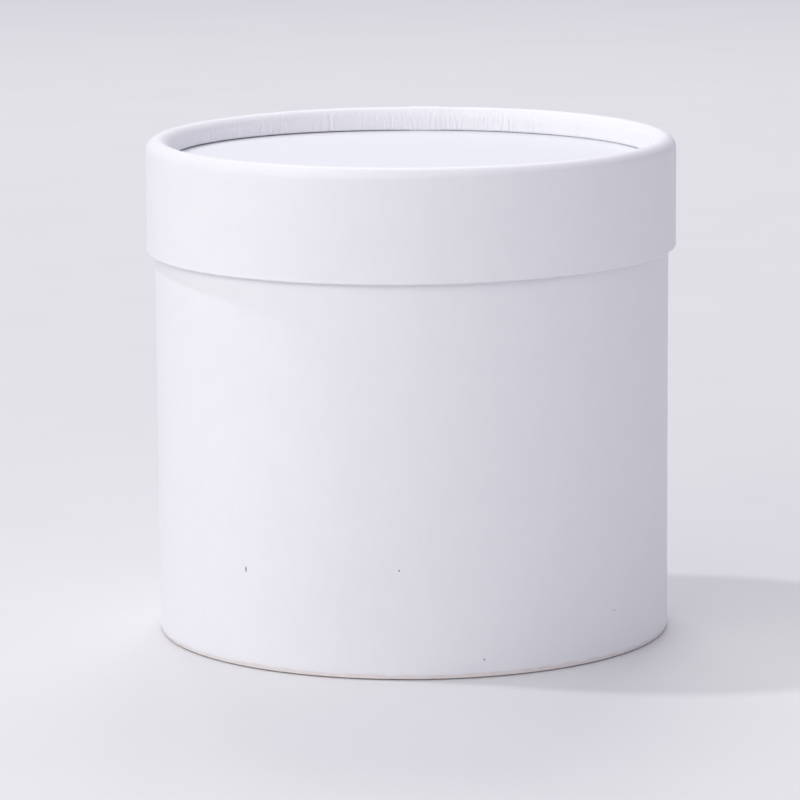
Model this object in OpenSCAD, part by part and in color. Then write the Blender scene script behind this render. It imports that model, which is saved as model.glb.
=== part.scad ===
// Round florist's box of wound paperboard: a wrapped and lined cylinder, and a slip-over lid whose top
// edge is rolled inwards and down to a recessed flat disc. Millimetres, +Z up. The origin is the centre
// of the circle on which the foot stands. Every piece is a body of revolution about Z, and every outline
// below is drawn as half a section, with the radius to the right and the height upwards.

/* [Overall] */
// Outer diameter of the lid, over its wrapping paper
lid_d = 200; // [140:1:300]
// Height of the closed box, from the foot to the crest of the lid's rim
box_h = 188; // [120:1:320]
// Depth of the lid, from the crest of its rim to its lower edge
lid_h = 42; // [36:0.5:70]

/* [Board and paper] */
// Thickness of the wound board in both walls
wall_t = 1.8; // [1.2:0.1:1.9]
// Thickness of the flat board discs in lid and base
disc_t = 2; // [1.5:0.1:2.5]
// Thickness of each sheet of paper with its glue
paper_t = 0.25; // [0.15:0.05:0.3]

/* [Lid rim] */
// Radius of the rolled rim, measured over the paper
roll_r = 4.4; // [3.5:0.1:6]
// Depth of the flat top below the crest of the rim
top_recess = 9; // [8:0.5:14]
// Gap between the inner edge of the rim and the flat top
rim_gap = 0.1; // [0.05:0.05:0.5]

/* [Fit and hems] */
// Radial play between the hem inside the lid and the wrapped box
fit_gap = 0.4; // [0.3:0.05:0.8]
// Radius of the folds in the papers, at the mouth and at both edges of the lid's wall
fold_r = 0.7; // [0.5:0.05:0.8]
// Depth of the paper turned in at the mouth of the box
mouth_hem = 15; // [8:0.5:25]
// Depth of the paper turned in at the lower edge of the lid
lid_hem = 12; // [6:0.5:15]

/* [Foot] */
// Bare board that shows below the wrapping paper
bare_edge = 2; // [0.4:0.1:4]
// Height of the lining's lower edge, inside the foot
lining_edge = 0.8; // [0.2:0.1:1]
// Depth of the base's underside above the surface that the box stands on
foot_recess = 1.5; // [1:0.1:5]
// Height of the base lining's edge, turned up inside the wall
dish_h = 12; // [6:0.5:25]
// Radius of the base lining's corner
dish_r = 1.5; // [0.5:0.1:4]

/* [Hidden] */

$fn = 180;
seat_gap = 0.1;                            // play between the mouth and the seated lid
past = 1;                                  // how far a cut runs past the material that it cuts

// Lid, from the outside in and from the top down
side_t = paper_t + wall_t + paper_t;       // wrap, board and lining together
lid_r = lid_d / 2;
lid_bore_r = lid_r - side_t;               // inside the lining
lid_hem_r = lid_bore_r - paper_t;          // inside the turned-in hem
lid_z0 = box_h - lid_h;                    // lower edge
roll_mid_r = lid_r - roll_r;               // centre of the roll
roll_mid_z = box_h - roll_r;
rim_r = lid_r - 2 * roll_r;                // inner face of the rim
rim_hem_r = rim_r + side_t + paper_t;      // hem behind that face
flat_z = box_h - top_recess;               // flat top
rim_z = flat_z + rim_gap;                  // inner edge of the rim
lid_board_z = flat_z - paper_t - disc_t;   // underside of the disc's board
lid_under_z = lid_board_z - paper_t;       // underside of the whole disc

// Box, from the outside in and from the top down
body_r = lid_hem_r - fit_gap;
body_bore_r = body_r - side_t;             // inside the lining
body_hem_r = body_bore_r - paper_t;        // inside the turned-in hem
mouth_z = lid_under_z - seat_gap;
base_z = foot_recess + paper_t;            // underside of the base board
dish_z = base_z + disc_t;                  // upper face of the base board, under its lining

white_paper = "#f3f2f5";
film_paper = "#fbfbf8";
bare_board = "#e6dedd";

// Rectangle between the radii ra and rb and the heights z0 and z1
module band(ra, rb, z0, z1) {
  translate([ra, z0])
    square([rb - ra, z1 - z0]);
}

// Section of a wall with rounded upper corners, from its far end at z0 up to its edge at z1. The sides
// and the edge are cut back by the depth "in", so that papers and boards nest inside each other.
module folded(ra, rb, z0, z1, in) {
  band(ra + in, rb - in, z0, z1 - fold_r);
  band(ra + fold_r, rb - fold_r, z0, z1 - in);
  for (r = [ra + fold_r, rb - fold_r])
    translate([r, z1 - fold_r])
      circle(fold_r - in);
}

// The same with rounded lower corners, from its edge at z0 up to its far end at z1
module lower_folded(ra, rb, z0, z1, in) {
  translate([0, z0 + z1])
    mirror([0, 1])
      folded(ra, rb, z0, z1, in);
}

// Mouth of the box, down to z0
module mouth_section(in, z0) {
  folded(body_hem_r, body_r, z0, mouth_z, in);
}

// Both edges of the lid's wall as far as their hems reach, and "more" above that: its lower edge, and the
// inner edge of its rim
module lid_edges(in, more) {
  lower_folded(lid_hem_r, lid_r, lid_z0, lid_z0 + lid_hem + more, in);
  lower_folded(rim_r, rim_hem_r, rim_z, roll_mid_z + more, in);
}

// One layer of the lid's wall, between the depths "in" and "out" below the outer face, where it is
// straight: in the skirt, and down the inside of the rim
module straight_layer(in, out) {
  band(lid_r - out, lid_r - in, lid_z0, roll_mid_z);
  band(rim_r + in, rim_r + out, rim_z, roll_mid_z);
}

// The same layer between the hems: up the outside and over the crest
module rolled_layer(in, out) {
  band(lid_r - out, lid_r - in, lid_z0 + lid_hem - paper_t, roll_mid_z);
  difference() {
    translate([roll_mid_r, roll_mid_z])
      circle(roll_r - in);
    translate([roll_mid_r, roll_mid_z])
      circle(roll_r - out);
    band(rim_r - past, lid_r + past, roll_mid_z - roll_r - past, roll_mid_z);
  }
}

// Section of a shallow dish on the base, up to z1, cut back by the depth "in" below and at the side
module dish_section(in, z1) {
  band(0, body_bore_r - in, dish_z + dish_r, z1);
  band(0, body_bore_r - dish_r, dish_z + in, z1);
  translate([body_bore_r - dish_r, dish_z + dish_r])
    circle(dish_r - in);
}

// Wound board wall, standing on its raw cut edge
module body_tube() {
  color(bare_board)
    rotate_extrude()
      intersection() {
        mouth_section(paper_t, 0);
        band(body_bore_r + paper_t, body_r, 0, mouth_z);
      }
}

// White paper on the outside, folded over the mouth and glued down inside
module body_wrap() {
  color(white_paper)
    rotate_extrude()
      difference() {
        mouth_section(0, bare_edge);
        mouth_section(paper_t, bare_edge - past);
        band(body_hem_r - past, body_bore_r + paper_t, bare_edge - past, mouth_z - mouth_hem);
      }
}

// Film-coated paper inside the wall
module body_lining() {
  color(film_paper)
    rotate_extrude()
      intersection() {
        mouth_section(paper_t, lining_edge);
        band(body_bore_r, body_bore_r + paper_t, lining_edge, mouth_z);
      }
}

module base_disc() {
  color(bare_board)
    translate([0, 0, base_z])
      cylinder(r = body_bore_r, h = disc_t);
}

// Paper glued under the base board
module base_facing() {
  color(white_paper)
    translate([0, 0, foot_recess])
      cylinder(r = body_bore_r, h = paper_t);
}

// Film-coated paper dish on the base, which closes the corner against the wall
module base_lining() {
  color(film_paper)
    rotate_extrude()
      difference() {
        dish_section(0, dish_z + dish_h);
        dish_section(paper_t, dish_z + dish_h + past);
      }
}

// Wound board ring, its top edge rolled inwards and down
module lid_tube() {
  color(bare_board)
    rotate_extrude()
      union() {
        rolled_layer(paper_t, paper_t + wall_t);
        intersection() {
          lid_edges(paper_t, 0);
          straight_layer(paper_t, paper_t + wall_t);
        }
      }
}

// White paper over the ring and its rim, turned in at both edges
module lid_wrap() {
  color(white_paper)
    rotate_extrude()
      union() {
        rolled_layer(0, paper_t);
        difference() {
          lid_edges(0, 0);
          lid_edges(paper_t, past);
        }
      }
}

// Paper inside the ring
module lid_lining() {
  color(white_paper)
    rotate_extrude()
      union() {
        rolled_layer(paper_t + wall_t, side_t);
        intersection() {
          lid_edges(paper_t, 0);
          straight_layer(paper_t + wall_t, side_t);
        }
      }
}

// Board disc, let in under the rim
module lid_disc() {
  color(bare_board)
    translate([0, 0, lid_board_z])
      cylinder(r = lid_bore_r - paper_t, h = disc_t);
}

// White paper on the disc, turned down over its edge
module lid_top_facing() {
  color(white_paper)
    difference() {
      translate([0, 0, lid_board_z])
        cylinder(r = lid_bore_r, h = flat_z - lid_board_z);
      translate([0, 0, lid_board_z - past])
        cylinder(r = lid_bore_r - paper_t, h = disc_t + past);
    }
}

module lid_under_facing() {
  color(white_paper)
    translate([0, 0, lid_under_z])
      cylinder(r = lid_bore_r, h = paper_t);
}

body_tube();
body_wrap();
body_lining();
base_disc();
base_facing();
base_lining();
lid_tube();
lid_wrap();
lid_lining();
lid_disc();
lid_top_facing();
lid_under_facing();
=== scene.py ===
"""Looks of the round florist's box and its lift-off lid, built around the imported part.

Each sheet of paper and each board that shows is a closed shell of revolution with its own relief: pleats
where the paper rolls inwards over the lid's rim, the overlap where a sheet meets itself, hems, trimmed
edges, and the plies of the wound board. Outlines are lists of (radius, height) in millimetres.
"""

import math

import bpy
import numpy as np
from mathutils import Matrix, Vector


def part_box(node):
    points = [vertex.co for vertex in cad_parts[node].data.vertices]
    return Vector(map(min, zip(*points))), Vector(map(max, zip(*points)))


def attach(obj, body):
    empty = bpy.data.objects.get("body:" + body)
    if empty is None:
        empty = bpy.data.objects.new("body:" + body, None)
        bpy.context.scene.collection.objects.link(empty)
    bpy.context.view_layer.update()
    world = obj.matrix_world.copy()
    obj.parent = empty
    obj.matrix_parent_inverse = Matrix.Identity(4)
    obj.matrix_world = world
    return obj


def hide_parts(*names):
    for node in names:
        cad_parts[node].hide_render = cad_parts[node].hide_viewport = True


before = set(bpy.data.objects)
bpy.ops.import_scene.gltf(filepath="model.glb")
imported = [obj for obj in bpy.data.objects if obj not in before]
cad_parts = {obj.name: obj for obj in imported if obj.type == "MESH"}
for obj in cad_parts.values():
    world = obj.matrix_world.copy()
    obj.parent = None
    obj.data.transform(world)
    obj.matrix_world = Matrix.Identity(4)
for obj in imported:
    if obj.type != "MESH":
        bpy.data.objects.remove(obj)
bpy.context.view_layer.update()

MM = 0.001


def radius_of(node):
    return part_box(node)[1].x / MM


def foot_of(node):
    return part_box(node)[0].z / MM


def top_of(node):
    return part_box(node)[1].z / MM


# ---------------------------------------------------------------- sizes, from the frame

PAPER = top_of("lid_under_facing") - foot_of("lid_under_facing")
FOLD_R = 0.7                    # radius of the folds at the mouth and at both edges of the lid's wall

LID_R = radius_of("lid_wrap")
LID_TOP = top_of("lid_wrap")
LID_FOOT = foot_of("lid_wrap")
LID_LINING_R = radius_of("lid_lining")
LID_BORE_R = radius_of("lid_top_facing")
LID_HEM_R = LID_BORE_R - PAPER
LID_HEM = 12.0                  # depth of the paper turned in at the lid's lower edge
FLAT_TOP = top_of("lid_top_facing")
ROLL_R = 4.4                    # radius of the rolled rim
ROLL = (LID_R - ROLL_R, LID_TOP - ROLL_R)
SIDE = LID_R - LID_BORE_R       # wrap, board and lining together
RIM_R = LID_R - 2 * ROLL_R      # inner face of the rim
RIM_HEM_R = RIM_R + SIDE + PAPER
RIM_EDGE = FLAT_TOP + 0.1       # inner edge of the rim, just above the flat top

BODY_R = radius_of("body_wrap")
BODY_TOP = top_of("body_wrap")
BODY_TRIM = foot_of("body_wrap")
BODY_LINING_R = radius_of("body_lining")
BODY_BORE_R = BODY_LINING_R - PAPER
BODY_HEM_R = BODY_BORE_R - PAPER
MOUTH_HEM = 15.0                # depth of the paper turned in at the mouth
DISH_R = 1.5                    # corner of the base lining

# ---------------------------------------------------------------- relief sizes

# Where a sheet's end lies over its beginning
SEAM = 90.0                     # degrees: the outer papers overlap at the back, at +Y
LINING_SEAM = 76.0
OVERLAP_WIDTH = 11.0
OVERLAP_FADE = 2.5              # where a sheet bends up on to its own beginning
OVERLAP_HEIGHT = 0.2
SEAM_STEP = 0.04                # half the width of the step at an overlap's cut edge

# How far the lid's edges are off level: fitted together with the camera's roll, not measured apart
LID_SLANT = 0.6                 # rise of the lower edge towards +X, and its fall towards -X
RIM_RISE = 0.95                 # rise of the rim's inner edge towards -X
TOP_RISE = 0.75                 # and of the flat top
RIM_FLARE = 0.02                # the rim's inner face leans inwards by this times mm squared

# Pleats down the inside of the rim
PLEAT_CLUSTERS = (59, 68, 81, 90, 98, 111, 128, 148, 171, 196, 224, 247, 268, 291, 316, 338, 2, 27, 44)
PLEATS_PER_CLUSTER = 15
PLEAT_SPREAD = 2.6              # degrees, on both sides of a cluster's middle
STRAY_PLEATS = 200
STRAY_DEPTH = 0.6               # as a share of a clustered pleat's
PLEAT_LEAN = 0.0016             # radians for each mm down the rim
PLEAT_WIDTHS = (0.3, 0.75)
PLEAT_DEPTHS = (0.08, 0.42)
PLEAT_STARTS = (1.0, 6.5)       # distance from the crest
PLEAT_FADE = 4                  # way over which a pleat deepens
STREAKS = 0.3                   # relief of the fine lines between the pleats
DISH_PLEATS = 74                # flat pleats in the base lining's turned-up edge
DISH_PLEAT_DEPTH = 0.32

# Unevenness of glued sheets and cut edges
SKIN = 0.02                     # fine, of the outer papers
LINING_SKIN = 0.025
LID_SWELL = 0.03                # slow, of the walls
BODY_SWELL = 0.04
TOP_SWELL = 0.02                # slow, of the flat sheets
UNDER_SWELL = 0.03
DISH_SWELL = 0.05
BASE_SWELL = 0.04
CREST_WAVE = 0.05               # rise and fall of the rim's crest
LID_HEM_WAVE = 0.5              # of the hems' cut edges
MOUTH_HEM_WAVE = 0.6
MOUTH_HEM_RIPPLE = 0.05         # where that edge stands off the wall
DISH_EDGE_WAVE = 0.35
TRIM_WAVE = 0.13                # of the wrap's trimmed edge above the foot
BEAD = 0.09                     # the paper stands off where it folds round the lid's lower edge
BEAD_AT = 0.75
BEAD_WIDTH = 0.35

# Wound board
PLIES = 5
PLY = (BODY_R - PAPER - BODY_LINING_R) / PLIES
GROOVE_HALF = 0.05              # half the width of the groove between two plies
GROOVE_DEPTH = 0.07
FOOT_ROUND = 0.3                # rounding of the cut edge
FOOT_ROUGH = 0.04
FOOT_GAP = 0.42                 # the outer plies are worn back this far above the surface under the box
WORN_PLIES = 4

# Tones and specks, and painted light on the rim
DUST = (0.12, 0.10, 0.10)
RIM_PAINTED_LIGHT = (0.94, 0.94, 0.955)  # painted light: lightens the rim's inner face, which these lamps leave too dark
BODY_SPECKS = (                 # angle in degrees, height, radius and length
    (230.4, 37.2, 0.5, 1.3),
    (266.7, 40.9, 0.4, 0.5),
    (285.1, 6.9, 0.4, 0.5),
    (319.7, 18.2, 0.3, 0.4),
)

# Meshes
COARSE = 576                    # vertices round a ring where nothing fine happens
MEDIUM = 2 * COARSE
FINE = 4 * COARSE
DISC_STEP = 6                   # distance between the rings of a flat sheet
AXIS = 1e-6                     # a smaller radius is on the axis
MARGIN = 0.02                   # keeps glued sheets from sharing a surface
RIM_WAY = ROLL_R * math.pi / 2  # from the crest to the straight part of the rim's inner face

# ---------------------------------------------------------------- camera and stage

CAMERA_DISTANCE = 1.810         # metres and degrees; the camera looks along +Y
CAMERA_HEIGHT = 0.4063
CAMERA_SIDE = -0.0048
CAMERA_PITCH = 10.013
CAMERA_ROLL = -0.40
CAMERA_LENS = 217.1
FLOOR_SIDE = 60.0
AMBIENT = (0.884, 0.860, 0.992)
AMBIENT_STRENGTH = 0.557


# ---------------------------------------------------------------- outlines

def line(start, end, steps=1):
    share = np.linspace(0, 1, steps + 1)[:, None]
    return (1 - share) * np.array(start, float) + share * np.array(end, float)


def arc(centre, radius, start, end, steps):
    """From start to end in degrees, where 0 points outwards and 90 up."""
    angle = np.radians(np.linspace(start, end, steps + 1))
    return np.stack([centre[0] + radius * np.cos(angle), centre[1] + radius * np.sin(angle)], 1)


def outline(*runs):
    """Joins runs of points end to end, and drops the points where two runs meet twice."""
    points = np.concatenate(runs)
    apart = np.linalg.norm(np.diff(points, axis=0), axis=1) > 1e-4
    return points[np.append(True, apart)]


def folded_edge(inner, outer, level, radius, up, steps=5):
    """Round the free edge of a wall from its inner face to its outer one, at its top if up."""
    turn = 1 if up else -1
    centre_z = level - turn * radius
    return outline(
        arc((inner + radius, centre_z), radius, 180, 180 - turn * 90, steps),
        arc((outer - radius, centre_z), radius, turn * 90, 0, steps),
    )


# ---------------------------------------------------------------- relief

def smooth(value, low, high):
    share = np.clip((value - low) / (high - low), 0, 1)
    return share * share * (3 - 2 * share)


def turned(angle):
    """An angle in radians brought to between minus and plus half a turn."""
    return (angle + math.pi) % (2 * math.pi) - math.pi


def waves(seed, lobes, wavelength, count=14):
    """A smooth random field of height about 1 on a cylinder: a function of angle and height."""
    rng = np.random.default_rng(seed)
    turns = rng.integers(lobes[0], lobes[1] + 1, count)
    rise = rng.normal(0, 2 * math.pi / wavelength, count)
    phase = rng.uniform(0, 2 * math.pi, count)

    def field(theta, z):
        total = sum(np.cos(m * theta + k * z + p) for m, k, p in zip(turns, rise, phase))
        return total * math.sqrt(2 / count)

    return field


def overlap(theta, seam, radius):
    """Height of the sheet's end where it lies over its beginning."""
    along = turned(theta - math.radians(seam)) * radius
    on_top = smooth(along, -OVERLAP_WIDTH - OVERLAP_FADE, -OVERLAP_WIDTH) * (along < 0)
    return OVERLAP_HEIGHT * on_top


def crease_set(seed, clusters, per_cluster, spread, strays):
    """Creases by their angle, lean, width and depth, and by the distance from the crest, down the inside
    of the rim, at which each begins."""
    rng = np.random.default_rng(seed)
    near = np.repeat(np.radians(clusters), per_cluster)
    near = near + rng.normal(0, math.radians(spread), len(near))
    angle = np.concatenate([near, rng.uniform(0, 2 * math.pi, strays)])
    total = len(angle)
    strength = np.concatenate([np.ones(len(near)), np.full(strays, STRAY_DEPTH)])
    return {
        "angle": angle,
        "lean": rng.normal(0, PLEAT_LEAN, total),
        "width": rng.uniform(*PLEAT_WIDTHS, total),
        "depth": strength * rng.uniform(*PLEAT_DEPTHS, total),
        "begin": rng.uniform(*PLEAT_STARTS, total),
    }


def creases_at(creases, theta, radius, way):
    """Relief of a set of creases across them, at one distance from the crest. Each is a sharp valley
    between two low shoulders."""
    shown = smooth(way, creases["begin"], creases["begin"] + PLEAT_FADE)
    live = shown > 0.01
    if not live.any():
        return 0 * theta
    centre = creases["angle"][live] + creases["lean"][live] * (way - RIM_WAY)
    across = turned(theta[:, None] - centre[None, :]) * radius / creases["width"][live]
    valley = 0.5 * np.exp(-((across / 2.1) ** 2)) - np.exp(-np.abs(across) * 1.2)
    return (valley * (creases["depth"] * shown)[live]).sum(1)


# ---------------------------------------------------------------- shells

def ring_angles(count, seam):
    """Angles of a ring's vertices, with two of the coarse ones at the step of the seam."""
    if seam is None:
        return np.arange(count) * 2 * math.pi / count
    step = SEAM_STEP / LID_R
    coarse = math.radians(seam) + np.linspace(step, 2 * math.pi - step, COARSE)
    coarse = np.append(coarse, coarse[0] + 2 * math.pi)
    return np.interp(np.arange(count) * COARSE / count, np.arange(COARSE + 1), coarse)


def band_faces(low, low_count, high, high_count):
    """Faces between two rings whose first vertices are low and high; one may be twice as fine."""
    if low_count == high_count:
        i = np.arange(low_count)
        j = (i + 1) % low_count
        return [tuple(f) for f in np.stack([low + i, low + j, high + j, high + i], 1).tolist()]
    if low_count > high_count:
        return [f[::-1] for f in band_faces(high, high_count, low, low_count)]
    i = np.arange(low_count)
    a, b = low + i, low + (i + 1) % low_count
    c, d, e = high + 2 * i, high + 2 * i + 1, high + (2 * i + 2) % high_count
    parts = [np.stack(t, 1) for t in ((a, b, d), (a, d, c), (b, e, d))]
    return [tuple(f) for f in np.concatenate(parts).tolist()]


def centre_faces(centre, first, count, above):
    i = np.arange(count)
    j = (i + 1) % count
    order = (first + i, first + j) if above else (first + j, first + i)
    middle = np.full(count, centre)
    return [tuple(f) for f in np.stack([middle, *order], 1).tolist()]


def outward(points, closed):
    """Unit normals of an outline that runs anticlockwise."""
    before = np.roll(points, 1, 0) if closed else np.vstack([points[:1], points[:-1]])
    after = np.roll(points, -1, 0) if closed else np.vstack([points[1:], points[-1:]])
    along = after - before
    along /= np.linalg.norm(along, axis=1)[:, None] + 1e-12
    return np.stack([along[:, 1], -along[:, 0]], 1)


def shell(name, runs, relief=None, lift=None, seam=None, closed=True, sharp=40):
    """Revolves an outline that runs anticlockwise, in runs of (points, vertices round, on the face).
    relief(theta, r, z) moves the face along its normal, and lift(theta, r, z) moves everything up. An
    open outline starts and ends on the axis, its underside first."""
    points = np.concatenate([run[0] for run in runs])
    counts = np.concatenate([np.full(len(run[0]), run[1]) for run in runs])
    on_face = np.concatenate([np.full(len(run[0]), run[2]) for run in runs])
    normals = outward(points, closed)
    rows, firsts, faces = [], [], []
    start = 0
    for (r, z), (nr, nz), count, shown in zip(points, normals, counts, on_face):
        firsts.append(start)
        if r < AXIS:
            rows.append(np.array([[0, 0, z]]))
            start += 1
            continue
        theta = ring_angles(count, seam)
        out = relief(theta, r, z) if relief and shown else 0 * theta
        up = lift(theta, r, z) if lift else 0 * theta
        radius = r + out * nr
        rows.append(np.stack([radius * np.cos(theta), radius * np.sin(theta), z + out * nz + up], 1))
        start += count
    for n in range(len(points) - (0 if closed else 1)):
        m = (n + 1) % len(points)
        if points[n][0] < AXIS:
            faces += centre_faces(firsts[n], firsts[m], counts[m], False)
        elif points[m][0] < AXIS:
            faces += centre_faces(firsts[m], firsts[n], counts[n], True)
        else:
            faces += band_faces(firsts[n], counts[n], firsts[m], counts[m])
    mesh = bpy.data.meshes.new(name)
    mesh.from_pydata((np.concatenate(rows) * MM).tolist(), [], faces)
    mesh.shade_smooth()
    mesh.set_sharp_from_angle(angle=math.radians(sharp))
    piece = bpy.data.objects.new(name, mesh)
    bpy.context.scene.collection.objects.link(piece)
    return piece


def place(piece, material, slot, body, *nodes):
    """Gives a finished piece its material, and ties it to the frame."""
    piece.data.materials.append(material)
    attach(piece, body)
    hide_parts(*nodes)


def disc_runs(radius, z, face, up):
    """Runs across a flat sheet from its edge to the axis if up, or the other way: fewer vertices
    towards the middle."""
    zones = [(share * radius, COARSE // 2**n) for n, share in enumerate((1, 0.5, 0.25, 0.12, 0.05))]
    bands = []
    for (outer, count), (inner, _) in zip(zones, zones[1:] + [(0, 0)]):
        steps = max(1, round((outer - inner) / DISC_STEP))
        ring = line((outer, z), (inner, z), steps)[:-1]
        bands.append((ring, count, face))
    bands.append((np.array([(0.0, z)]), COARSE // 16, face))
    return bands if up else [(ring[::-1], count, face) for ring, count, face in bands[::-1]]


# ---------------------------------------------------------------- the lid

def lid_slant(theta, r, z):
    """Raises and lowers the edges of the lid's wall, which are off level."""
    if r < ROLL[0] and z > RIM_EDGE - 1:
        return RIM_RISE * np.clip(-np.cos(theta), 0, 1) * (1 - smooth(z, RIM_EDGE, ROLL[1]))
    return LID_SLANT * np.cos(theta) * (1 - smooth(z, LID_FOOT + 2, ROLL[1]))


def rim_way(r, z):
    """Distance in mm from the crest over the roll and down the inside of the rim."""
    if z < ROLL[1]:
        return RIM_WAY + ROLL[1] - z
    return ROLL_R * (math.atan2(z - ROLL[1], r - ROLL[0]) - math.pi / 2)


def lid_wrap():
    slow = waves(11, (2, 9), 60)
    skin = waves(12, (14, 60), 16)
    cut = waves(13, (3, 20), 900)
    creases = crease_set(7, PLEAT_CLUSTERS, PLEATS_PER_CLUSTER, PLEAT_SPREAD, STRAY_PLEATS)
    crest = ROLL[1] + 0.5 * ROLL_R
    bead_top = LID_FOOT + BEAD_AT + 3 * BEAD_WIDTH
    rim_fold = RIM_EDGE + FOLD_R
    hem_top = LID_FOOT + LID_HEM

    def relief(theta, r, z):
        out = overlap(theta, SEAM, r) + SKIN * skin(theta, z) + LID_SWELL * slow(theta, z)
        if r > LID_R - 0.1:
            out = out + BEAD * math.exp(-(((z - LID_FOOT - BEAD_AT) / BEAD_WIDTH) ** 2))
        if r < ROLL[0] and z > RIM_EDGE:
            face = creases_at(creases, theta, r, rim_way(r, z)) + RIM_FLARE * max(0, ROLL[1] - z) ** 2
            out = out + face * smooth(z, RIM_EDGE, rim_fold)
        return out

    def lift(theta, r, z):
        in_hem = r < LID_HEM_R + FOLD_R and z <= hem_top
        hem_cut = LID_HEM_WAVE * cut(theta, 0) * in_hem * smooth(z, LID_FOOT + 5, hem_top)
        crest_wave = CREST_WAVE * slow(theta, 0) * smooth(z, ROLL[1], crest)
        return lid_slant(theta, r, z) + crest_wave + hem_cut

    back = LID_R - PAPER
    rim_edge = folded_edge(RIM_R, RIM_HEM_R, RIM_EDGE, FOLD_R, False)
    rim_back = folded_edge(RIM_R + PAPER, RIM_HEM_R - PAPER, RIM_EDGE + PAPER, FOLD_R - PAPER, False)
    foot_back = folded_edge(LID_HEM_R + PAPER, back, LID_FOOT + PAPER, FOLD_R - PAPER, False)
    runs = [
        (line((LID_HEM_R, hem_top), (LID_HEM_R, LID_FOOT + FOLD_R), 4)[:-1], COARSE, True),
        (folded_edge(LID_HEM_R, LID_R, LID_FOOT, FOLD_R, False), COARSE, True),
        (line((LID_R, LID_FOOT + FOLD_R), (LID_R, bead_top), 7)[1:-1], COARSE, True),
        (line((LID_R, bead_top), (LID_R, ROLL[1]), 12)[:-1], COARSE, True),
        (arc(ROLL, ROLL_R, 0, 24, 3), COARSE, True),
        (arc(ROLL, ROLL_R, 32, 40, 1), MEDIUM, True),
        (arc(ROLL, ROLL_R, 48, 180, 18), FINE, True),
        (line((RIM_R, ROLL[1]), (RIM_R, rim_fold), 5)[1:-1], FINE, True),
        (rim_edge[:5], FINE, True),
        (rim_edge[5:7], MEDIUM, False),
        (rim_edge[7:], COARSE, False),
        (line((RIM_HEM_R, rim_fold), (RIM_HEM_R, ROLL[1]), 1)[1:], COARSE, False),
        (line((RIM_HEM_R - PAPER, ROLL[1]), (RIM_HEM_R - PAPER, rim_fold), 1)[:-1], COARSE, False),
        (rim_back[::-1], COARSE, False),
        (line((RIM_R + PAPER, rim_fold), (RIM_R + PAPER, ROLL[1]), 1)[1:-1], COARSE, False),
        (arc(ROLL, ROLL_R - PAPER, 180, 0, 14), COARSE, False),
        (line((back, ROLL[1]), (back, LID_FOOT + FOLD_R), 3)[1:-1], COARSE, False),
        (foot_back[::-1], COARSE, False),
        (line((LID_HEM_R + PAPER, LID_FOOT + FOLD_R), (LID_HEM_R + PAPER, hem_top), 2)[1:], COARSE, False),
    ]
    piece = shell("lid_wrap_paper", runs, relief, lift, seam=SEAM)
    place(piece, wrap_paper("wrap_paper_lid", pleated_and_painted_light=True), "wrap_paper", "lid", "lid_wrap")


def lid_board():
    outer, inner = LID_R - PAPER, LID_LINING_R
    rim_face, rim_back = RIM_R + PAPER, RIM_R + SIDE - PAPER
    fold_r = FOLD_R - PAPER
    rim_fold = RIM_EDGE + FOLD_R
    runs = [
        (folded_edge(inner, outer, LID_FOOT + PAPER, fold_r, False), COARSE, False),
        (line((outer, LID_FOOT + FOLD_R), (outer, ROLL[1]), 3)[1:-1], COARSE, False),
        (arc(ROLL, outer - ROLL[0], 0, 180, 20), COARSE, False),
        (folded_edge(rim_face, rim_back, RIM_EDGE + PAPER, fold_r, False), COARSE, False),
        (line((rim_back, rim_fold), (rim_back, ROLL[1]), 1)[1:-1], COARSE, False),
        (arc(ROLL, inner - ROLL[0], 180, 0, 20), COARSE, False),
        (line((inner, ROLL[1]), (inner, LID_FOOT + FOLD_R), 3)[1:-1], COARSE, False),
    ]
    piece = shell("lid_wound_board", runs, lift=lid_slant)
    place(piece, wound_board(), "bare_board", "lid", "lid_tube")


def lid_lining():
    outer, inner = LID_LINING_R, LID_BORE_R
    rim_face, rim_back = RIM_R + SIDE - PAPER, RIM_R + SIDE
    rim_foot = RIM_EDGE + FOLD_R
    hem_top = LID_FOOT + LID_HEM
    skin = waves(21, (10, 40), 30)

    def relief(theta, r, z):
        return overlap(theta, LINING_SEAM, r) * 0.7 + SKIN * skin(theta, z)

    runs = [
        (line((outer, LID_FOOT + FOLD_R), (outer, ROLL[1]), 3), COARSE, False),
        (arc(ROLL, outer - ROLL[0], 0, 180, 16)[1:], COARSE, False),
        (line((rim_face, rim_foot), (rim_back, rim_foot), 1), COARSE, False),
        (arc(ROLL, inner - ROLL[0], 180, 0, 16), COARSE, False),
        (line((inner, ROLL[1]), (inner, FLAT_TOP), 1)[1:], COARSE, False),
        (line((inner, FLAT_TOP - 4 * MARGIN), (inner, hem_top), 5), COARSE, True),
        (line((inner, hem_top - 1), (inner, LID_FOOT + FOLD_R), 1), COARSE, False),
    ]
    piece = shell("lid_lining_paper", runs, relief, lid_slant, seam=LINING_SEAM)
    place(piece, facing_paper(), "facing_paper", "lid", "lid_lining")


def lid_top():
    """The flat top, its edge turned down round the board."""
    under, board_r = FLAT_TOP - PAPER, LID_BORE_R - PAPER
    foot = foot_of("lid_top_facing")
    flat = waves(31, (0, 5), 900)

    def relief(theta, r, z):
        rise = TOP_RISE * smooth(-r * np.cos(theta), 0, LID_BORE_R)
        return TOP_SWELL * flat(theta, 0) * smooth(r, 0, 60) + rise

    runs = disc_runs(board_r, under, False, False)
    runs += [
        (np.array([(board_r, foot), (LID_BORE_R, foot)]), COARSE, False),
        (arc((LID_BORE_R - PAPER, FLAT_TOP - PAPER), PAPER, 0, 90, 3), COARSE, False),
    ]
    runs += disc_runs(LID_BORE_R - 1, FLAT_TOP, True, True)
    piece = shell("lid_top_paper", runs, relief, closed=False)
    place(piece, top_paper(), "top_paper", "lid", "lid_top_facing")


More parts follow.
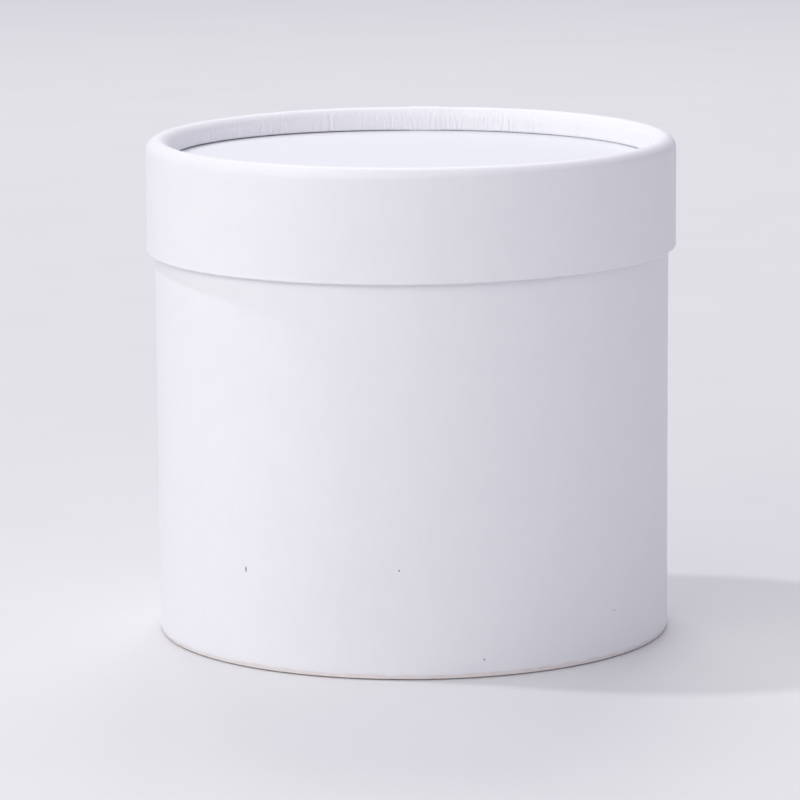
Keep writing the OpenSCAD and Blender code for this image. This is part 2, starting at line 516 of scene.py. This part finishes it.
def lid_under():
    low, high = foot_of("lid_under_facing"), top_of("lid_under_facing")
    flat = waves(41, (0, 9), 900)

    def relief(theta, r, z):
        return UNDER_SWELL * flat(theta, 0) * smooth(r, 0, 60) * (1 - smooth(r, 90, 96))

    runs = disc_runs(LID_BORE_R - 0.05, low, True, False) + disc_runs(LID_BORE_R - 0.05, high, False, True)
    piece = shell("lid_under_paper", runs, relief, closed=False)
    place(piece, facing_paper(), "facing_paper", "lid", "lid_under_facing")


# ---------------------------------------------------------------- the box

def body_wrap():
    slow = waves(51, (2, 7), 150)
    skin = waves(52, (14, 50), 20)
    trim = waves(53, (6, 70), 900)
    hem = waves(54, (3, 18), 900)
    ripples = waves(55, (30, 60), 900)
    hem_foot = BODY_TOP - MOUTH_HEM

    def relief(theta, r, z):
        inside = r < BODY_HEM_R + 0.1
        loose = MOUTH_HEM_RIPPLE * ripples(theta, 0) * (1 - smooth(z, hem_foot, hem_foot + 8)) * inside
        return overlap(theta, SEAM, r) + SKIN * skin(theta, z) + BODY_SWELL * slow(theta, z) + loose

    def lift(theta, r, z):
        foot = TRIM_WAVE * trim(theta, 0) * (1 - smooth(z, BODY_TRIM, BODY_TRIM + 3))
        inner = MOUTH_HEM_WAVE * hem(theta, 0) * (1 - smooth(z, hem_foot, hem_foot + 6))
        return foot + inner * (r < BODY_BORE_R + 0.1)

    back = BODY_R - PAPER
    fold_foot = BODY_TOP - FOLD_R
    runs = [
        (line((BODY_R, BODY_TRIM), (BODY_R, BODY_TRIM + 3), 3), COARSE, True),
        (line((BODY_R, BODY_TRIM + 3), (BODY_R, fold_foot), 26)[1:-1], COARSE, True),
        (folded_edge(BODY_HEM_R, BODY_R, BODY_TOP, FOLD_R, True)[::-1], COARSE, True),
        (line((BODY_HEM_R, fold_foot), (BODY_HEM_R, hem_foot), 6)[1:], COARSE, True),
        (line((BODY_BORE_R, hem_foot), (BODY_BORE_R, fold_foot), 3)[:-1], COARSE, False),
        (folded_edge(BODY_BORE_R, back, BODY_TOP - PAPER, FOLD_R - PAPER, True), COARSE, False),
        (line((back, fold_foot), (back, BODY_TRIM), 8)[1:], COARSE, False),
    ]
    piece = shell("body_wrap_paper", runs, relief, lift, seam=SEAM)
    place(piece, wrap_paper("wrap_paper_body", BODY_SPECKS), "wrap_paper", "box", "body_wrap")


def body_board():
    """The wound wall. Its cut edge shows at the foot, with a line between each two plies. The outer
    plies are worn back, so that the box stands on the inner ones."""
    outer, inner = BODY_R - PAPER, BODY_LINING_R
    worn = outer - WORN_PLIES * PLY
    edge = [np.array([(inner + FOOT_ROUND, 0.0), (worn, 0.0), (worn + 0.03, 0.7 * FOOT_GAP)])]
    for n in range(1, WORN_PLIES):
        r = worn + n * PLY
        z = FOOT_GAP * (0.7 + 0.3 * n / WORN_PLIES)
        edge.append(np.array([(r - GROOVE_HALF, z), (r, z + GROOVE_DEPTH), (r + GROOVE_HALF, z)]))
    rough = waves(61, (20, 160), 2)

    def lift(theta, r, z):
        return FOOT_ROUGH * np.abs(rough(theta, r)) * (z < 1)

    top = folded_edge(inner, outer, BODY_TOP - PAPER, FOLD_R - PAPER, True)[::-1]
    runs = [
        (arc((outer - FOOT_ROUND, FOOT_GAP + FOOT_ROUND), FOOT_ROUND, 270, 360, 4), MEDIUM, False),
        (np.array([(outer, BODY_TRIM)]), MEDIUM, False),
        (line((outer, BODY_TRIM + 2), (outer, BODY_TOP - FOLD_R), 8)[:-1], COARSE, False),
        (top, COARSE, False),
        (line((inner, BODY_TOP - FOLD_R), (inner, 2), 8)[1:], COARSE, False),
        (arc((inner + FOOT_ROUND, FOOT_ROUND), FOOT_ROUND, 180, 270, 4)[:-1], MEDIUM, False),
        (np.concatenate(edge), MEDIUM, False),
    ]
    piece = shell("body_wound_board", runs, lift=lift, sharp=60)
    place(piece, wound_board(), "bare_board", "box", "body_tube")


def body_lining():
    foot, top = foot_of("body_lining"), top_of("body_lining")
    skin = waves(71, (8, 36), 40)

    def relief(theta, r, z):
        below_hem = z < BODY_TOP - MOUTH_HEM - 1
        return 0.8 * overlap(theta, LINING_SEAM, r) + LINING_SKIN * skin(theta, z) * below_hem

    runs = [
        (line((BODY_LINING_R, foot), (BODY_LINING_R, top), 2), COARSE, False),
        (line((BODY_BORE_R, top), (BODY_BORE_R, BODY_TOP - MOUTH_HEM), 2)[:-1], COARSE, False),
        (line((BODY_BORE_R, BODY_TOP - MOUTH_HEM), (BODY_BORE_R, foot), 24), COARSE, True),
    ]
    piece = shell("body_lining_paper", runs, relief, seam=LINING_SEAM)
    place(piece, film_paper(), "film_paper", "box", "body_lining")


def base_dish():
    """The base lining, whose turned-up edge gathers in flat pleats."""
    low, high = foot_of("base_lining"), top_of("base_lining")
    flat = waves(81, (0, 6), 900)
    drift = waves(82, (2, 11), 900)

    def relief(theta, r, z):
        floor = DISH_SWELL * flat(theta, 0) * smooth(r, 0, 40) * (1 - smooth(r, 86, 93))
        turn = theta / (2 * math.pi) * DISH_PLEATS + 0.25 * drift(theta, 0)
        gathered = DISH_PLEAT_DEPTH * (turn % 1) ** 2 * smooth(z, low + DISH_R, high)
        return floor + gathered

    def lift(theta, r, z):
        return DISH_EDGE_WAVE * drift(3 * theta, 0) * smooth(z, low + 4, high)

    outer, inner = BODY_BORE_R - MARGIN, BODY_BORE_R - PAPER - MARGIN
    corner = (outer - DISH_R, low + DISH_R)
    runs = disc_runs(outer - DISH_R, low, False, False)
    runs += [
        (arc(corner, DISH_R, 270, 315, 2)[1:], COARSE, False),
        (arc(corner, DISH_R, 330, 360, 2), MEDIUM, False),
        (np.array([(outer, high)]), MEDIUM, False),
        (line((inner, high), (inner, low + DISH_R), 6), MEDIUM, True),
        (arc(corner, DISH_R - PAPER, 345, 315, 2), MEDIUM, True),
        (arc(corner, DISH_R - PAPER, 300, 270, 2)[:-1], COARSE, True),
    ]
    runs += disc_runs(outer - DISH_R, low + PAPER, True, True)
    piece = shell("base_dish_paper", runs, relief, lift, closed=False)
    place(piece, film_paper(), "film_paper", "box", "base_lining")


def base_facing():
    low, high = foot_of("base_facing"), top_of("base_facing")
    edge = BODY_BORE_R - MARGIN
    flat = waves(91, (0, 9), 900)

    def relief(theta, r, z):
        return BASE_SWELL * flat(theta, 0) * smooth(r, 0, 50)

    runs = disc_runs(edge, low, True, False) + disc_runs(edge, high, False, True)
    piece = shell("base_facing_paper", runs, relief, closed=False)
    place(piece, facing_paper(), "facing_paper", "box", "base_facing")


def flat_boards():
    """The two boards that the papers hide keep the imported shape, with the board's material."""
    for node in ("lid_disc", "base_disc"):
        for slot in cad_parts[node].material_slots:
            slot.material = wound_board()


# ---------------------------------------------------------------- materials

class Nodes:
    """A material being built. Its noises are sized in millimetres of the part's own space."""

    def __init__(self, name, roughness, specular):
        self.material = bpy.data.materials.new(name)
        self.material.use_nodes = True
        self.tree = self.material.node_tree
        self.shader = self.tree.nodes["Principled BSDF"]
        self.shader.inputs["Roughness"].default_value = roughness
        self.shader.inputs["Specular IOR Level"].default_value = specular
        place_of = self.add("ShaderNodeTexCoord").outputs["Object"]
        self.place = self.vector("MULTIPLY", place_of, (1 / MM,) * 3)

    def add(self, kind, **settings):
        node = self.tree.nodes.new(kind)
        for key, value in settings.items():
            setattr(node, key, value)
        return node

    def feed(self, socket, value):
        if isinstance(value, bpy.types.NodeSocket):
            self.tree.links.new(value, socket)
        else:
            socket.default_value = value

    def vector(self, operation, a, b, output="Vector"):
        node = self.add("ShaderNodeVectorMath", operation=operation)
        self.feed(node.inputs[0], a)
        self.feed(node.inputs[1], b)
        return node.outputs[output]

    def maths(self, operation, a, b=0.0):
        node = self.add("ShaderNodeMath", operation=operation)
        self.feed(node.inputs[0], a)
        self.feed(node.inputs[1], b)
        return node.outputs[0]

    def reach(self):
        """Distance from the axis in millimetres."""
        flat = self.vector("MULTIPLY", self.place, (1, 1, 0))
        return self.vector("LENGTH", flat, (0, 0, 0), "Value")

    def noise(self, size, detail=2.0, roughness=0.5, stretch=(1, 1, 1)):
        node = self.add("ShaderNodeTexNoise")
        self.feed(node.inputs["Vector"], self.vector("MULTIPLY", self.place, stretch))
        node.inputs["Scale"].default_value = 1 / size
        node.inputs["Detail"].default_value = detail
        node.inputs["Roughness"].default_value = roughness
        return node.outputs["Fac"]

    def spread(self, value, low, high, start=0.0, end=1.0):
        """Carries low..high over to start..end."""
        node = self.add("ShaderNodeMapRange")
        node.inputs["From Min"].default_value = low
        node.inputs["From Max"].default_value = high
        node.inputs["To Min"].default_value = start
        node.inputs["To Max"].default_value = end
        self.feed(node.inputs["Value"], value)
        return node.outputs["Result"]

    def mix(self, share, a, b):
        node = self.add("ShaderNodeMix", data_type="RGBA")
        self.feed(node.inputs[0], share)
        for socket, value in ((node.inputs[6], a), (node.inputs[7], b)):
            self.feed(socket, value if isinstance(value, bpy.types.NodeSocket) else (*value, 1))
        return node.outputs[2]

    def bump(self, height, depth):
        """Adds relief of that depth in millimetres to what is there."""
        node = self.add("ShaderNodeBump")
        node.inputs["Distance"].default_value = depth * MM
        self.feed(node.inputs["Height"], height)
        socket = self.shader.inputs["Normal"]
        if socket.is_linked:
            self.feed(node.inputs["Normal"], socket.links[0].from_socket)
        self.feed(socket, node.outputs["Normal"])

    def colour(self, value):
        self.feed(self.shader.inputs["Base Color"], value)

    def rough(self, value):
        self.feed(self.shader.inputs["Roughness"], value)


def paper(name, light, dark, roughness, specular, grain=0.010, peel=0.012):
    """Plain paper: cloudy in tone at two sizes, with a fine tooth and a slight peel in its surface."""
    made = Nodes(name, roughness, specular)
    cloud = made.noise(16, 3)
    tooth = made.noise(0.45, 3, 0.65)
    fibre = made.noise(2.2, 4, 0.6, (1, 1, 0.35))
    tone = made.maths("ADD", made.maths("MULTIPLY", cloud, 0.5), made.maths("MULTIPLY", fibre, 0.5))
    made.tone = made.mix(made.spread(tone, 0.36, 0.64), dark, light)
    made.colour(made.tone)
    made.rough(made.spread(fibre, 0.3, 0.7, roughness - 0.05, roughness + 0.05))
    made.bump(made.noise(3.2, 2), peel)
    made.bump(tooth, grain)
    return made


def wrap_paper(name, specks=(), pleated_and_painted_light=False):
    made = paper(name, (0.874, 0.872, 0.892), (0.856, 0.854, 0.878), 0.50, 0.45)
    colour = made.tone
    for angle, height, size, length in specks:
        turn = math.radians(angle)
        spot = (BODY_R * math.cos(turn), BODY_R * math.sin(turn), height)
        gap = made.vector("SUBTRACT", made.place, spot)
        gap = made.vector("MULTIPLY", gap, (1, 1, size / length))
        near = made.vector("LENGTH", gap, (0, 0, 0), "Value")
        colour = made.mix(made.spread(near, size, size * 0.5, 0.0, 0.8), colour, DUST)
    if pleated_and_painted_light:
        reach = made.reach()
        inside = made.spread(reach, RIM_R + 3, RIM_R + 1)
        # painted light: the inside of the rim is mixed towards a lighter colour, because the lamps leave
        # it too dark
        colour = made.mix(made.maths("MULTIPLY", inside, 0.6), colour, RIM_PAINTED_LIGHT)
        streaks = made.maths("SUBTRACT", made.noise(1.1, 2, 0.6, (1, 1, 0.12)), 0.5)
        made.bump(made.maths("MULTIPLY", streaks, inside), STREAKS)
    made.colour(colour)
    return made.material


def top_paper():
    # partly painted shade: this is the flat top's own paper, set about 5% darker to take out extra light
    # that the lamps put on the upward-facing top
    return paper("top_paper_flat", (0.814, 0.826, 0.861), (0.802, 0.815, 0.852), 0.52, 0.4).material


def facing_paper():
    light, dark = (0.846, 0.842, 0.832), (0.815, 0.810, 0.800)
    return paper("facing_paper_uncoated", light, dark, 0.72, 0.25, 0.02).material


def film_paper():
    light, dark = (0.872, 0.872, 0.862), (0.864, 0.864, 0.855)
    made = paper("film_paper_satin", light, dark, 0.30, 0.5, 0.003, 0.010)
    made.shader.inputs["Coat Weight"].default_value = 0.25
    made.shader.inputs["Coat Roughness"].default_value = 0.2
    return made.material


def wound_board():
    """Wound board: cloudy, flecked with fibres, with darker glue lines between its plies."""
    made = Nodes("wound_board", 0.88, 0.2)
    cloud = made.noise(5, 4, 0.6)
    fibre = made.noise(0.5, 4, 0.7, (1, 1, 0.4))
    colour = made.mix(made.spread(cloud, 0.35, 0.65), (0.800, 0.752, 0.728), (0.840, 0.798, 0.778))
    colour = made.mix(made.spread(fibre, 0.60, 0.72, 0, 0.4), colour, (0.86, 0.83, 0.82))
    colour = made.mix(made.spread(fibre, 0.40, 0.30, 0, 0.3), colour, (0.60, 0.54, 0.52))
    depth = made.maths("SUBTRACT", made.reach(), BODY_LINING_R)
    ply = made.maths("FRACT", made.maths("DIVIDE", depth, PLY))
    glue = made.maths("LESS_THAN", ply, 0.12)
    made.colour(made.mix(made.maths("MULTIPLY", glue, 0.45), colour, (0.46, 0.40, 0.37)))
    made.bump(fibre, 0.05)
    return made.material


def floor_material():
    made = Nodes("pale_board", 0.42, 0.35)
    cloud = made.noise(90, 3)
    made.colour(made.mix(made.spread(cloud, 0.35, 0.65), (0.776, 0.775, 0.775), (0.788, 0.787, 0.787)))
    made.bump(made.noise(1.5, 3), 0.01)
    return made.material


# ---------------------------------------------------------------- the stage

def stage():
    mesh = bpy.data.meshes.new("studio_floor")
    side = FLOOR_SIDE / 2
    corners = [(-side, -side, 0), (side, -side, 0), (side, side, 0), (-side, side, 0)]
    mesh.from_pydata(corners, [], [(0, 1, 2, 3)])
    mesh.materials.append(floor_material())
    floor = bpy.data.objects.new("studio_floor", mesh)
    bpy.context.scene.collection.objects.link(floor)


def lamp(name, azimuth, elevation, distance, size, power, colour):
    """A soft square lamp aimed at the middle of the box. Azimuth 0 is the camera's side, -90 the left."""
    turn, rise = math.radians(azimuth), math.radians(elevation)
    away = Vector((math.sin(turn) * math.cos(rise), -math.cos(turn) * math.cos(rise), math.sin(rise)))
    light = bpy.data.lights.new(name, "AREA")
    light.size = size
    light.energy = power
    light.color = colour
    holder = bpy.data.objects.new(name, light)
    holder.location = Vector((0, 0, LID_TOP * MM / 2)) + away * distance
    holder.rotation_mode = "QUATERNION"
    holder.rotation_quaternion = away.to_track_quat("Z", "Y")
    holder.visible_camera = False
    bpy.context.scene.collection.objects.link(holder)


def lights():
    lamp("key", -101.2, 61.2, 8.0, 0.45, 141, (0.965, 0.965, 1.0))
    lamp("front_left_softbox", -40, 32, 1.6, 0.7, 4.15, (0.99, 1.0, 0.92))
    lamp("left_softbox", -70, 45, 1.6, 0.7, 0.81, (1.0, 1.0, 0.98))
    lamp("left_low_softbox", -75, 15, 8.0, 3.5, 63.5, (1.0, 1.0, 0.945))
    lamp("front_fill", -15, 24, 1.6, 0.5, 2.29, (1.0, 0.99, 0.995))
    lamp("back_softbox", 180, 45, 3.0, 1.5, 23.0, (0.995, 1.0, 0.95))
    lamp("right_fill", 85, 18, 1.6, 1.0, 0.75, (0.95, 0.94, 1.0))
    world = bpy.data.worlds.new("studio")
    world.use_nodes = True
    glow = world.node_tree.nodes["Background"]
    glow.inputs["Color"].default_value = (*AMBIENT, 1)
    glow.inputs["Strength"].default_value = AMBIENT_STRENGTH
    bpy.context.scene.world = world


def camera():
    lens = bpy.data.cameras.new("camera")
    lens.sensor_width = 36
    lens.lens = CAMERA_LENS
    lens.clip_end = 100
    holder = bpy.data.objects.new("camera", lens)
    stand = Matrix.Translation((CAMERA_SIDE, -CAMERA_DISTANCE, CAMERA_HEIGHT))
    tilt = Matrix.Rotation(math.pi / 2 - math.radians(CAMERA_PITCH), 4, "X")
    holder.matrix_world = stand @ tilt @ Matrix.Rotation(math.radians(CAMERA_ROLL), 4, "Z")
    bpy.context.scene.collection.objects.link(holder)
    bpy.context.scene.camera = holder


lid_wrap()
lid_board()
lid_lining()
lid_top()
lid_under()
body_wrap()
body_board()
body_lining()
base_dish()
base_facing()
flat_boards()
stage()
lights()
camera()
bpy.context.scene.view_settings.view_transform = "Standard"
